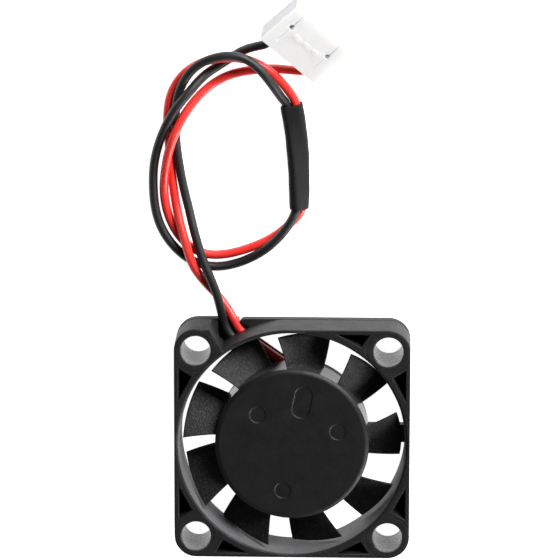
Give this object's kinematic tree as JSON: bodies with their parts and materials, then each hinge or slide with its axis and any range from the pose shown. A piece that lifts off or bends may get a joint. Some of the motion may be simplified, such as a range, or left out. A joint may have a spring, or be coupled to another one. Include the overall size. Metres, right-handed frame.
{
  "type": "small axial cooling fan",
  "caption": "Small square axial cooling fan with hub and curved blades in a moulded frame, with a red and black lead, shrink sleeve and white plug.",
  "frame": {"origin": "centre of the fan frame's back face, on the surface it lies on (the lead and plug not counted)", "axes": "+Z along the rotor axis, out of the open rotor side; +Y toward the side the lead leaves from; +X to the right seen from the rotor side"},
  "size_m": [0.0276, 0.06, 0.006],
  "materials": {
    "housing_plastic": "fine-textured black moulding",
    "rotor_plastic": "satin black moulding",
    "sintered_bronze": "oil-filled sintered",
    "thrust_disc": "smooth",
    "seal_rubber": "matte",
    "lamination_steel": "stamped laminations",
    "insulator_plastic": "moulded",
    "copper_winding": "enamelled copper wire",
    "board": "solder-masked laminate",
    "chip_plastic": "moulded package",
    "chip_ceramic": "ceramic chip",
    "solder": "tin solder",
    "label_foil": "blank foil label",
    "red_insulation": "soft glossy insulation",
    "black_insulation": "soft glossy insulation",
    "shrink_tube": "matte heat-shrink tube",
    "natural_nylon": "milky translucent nylon",
    "tinned_terminal": "tinned strip",
    "yoke_steel": "plated steel",
    "magnet": "bonded magnet",
    "shaft_steel": "ground steel",
    "clip_plastic": "spring steel"
  },
  "bodies": {
    "frame": {"frame_housing": "housing_plastic", "bearing_sleeve": "sintered_bronze", "thrust_plate": "thrust_disc", "oil_seal": "seal_rubber", "stator_core": "lamination_steel", "upper_insulator": "insulator_plastic", "lower_insulator": "insulator_plastic", "coil_east": "copper_winding", "coil_north": "copper_winding", "coil_west": "copper_winding", "coil_south": "copper_winding", "circuit_board": "board", "hall_sensor": "chip_plastic", "driver_chip": "chip_plastic", "filter_capacitor": "chip_ceramic", "solder_joint_red": "solder", "solder_joint_black": "solder", "back_label": "label_foil", "red_wire": "red_insulation", "black_wire": "black_insulation", "shrink_sleeve": "shrink_tube", "plug_housing": "natural_nylon", "terminal_red": "tinned_terminal", "terminal_black": "tinned_terminal"},
    "rotor": {"impeller": "rotor_plastic", "rotor_yoke": "yoke_steel", "ring_magnet": "magnet", "shaft": "shaft_steel", "retaining_clip": "clip_plastic"}
  },
  "joints": [
    {"name": "rotor_spin", "type": "hinge", "parent": "frame", "child": "rotor", "pos_m": [0, 0, 0.003], "axis": [0, 0, 1], "continuous": true}
  ]
}
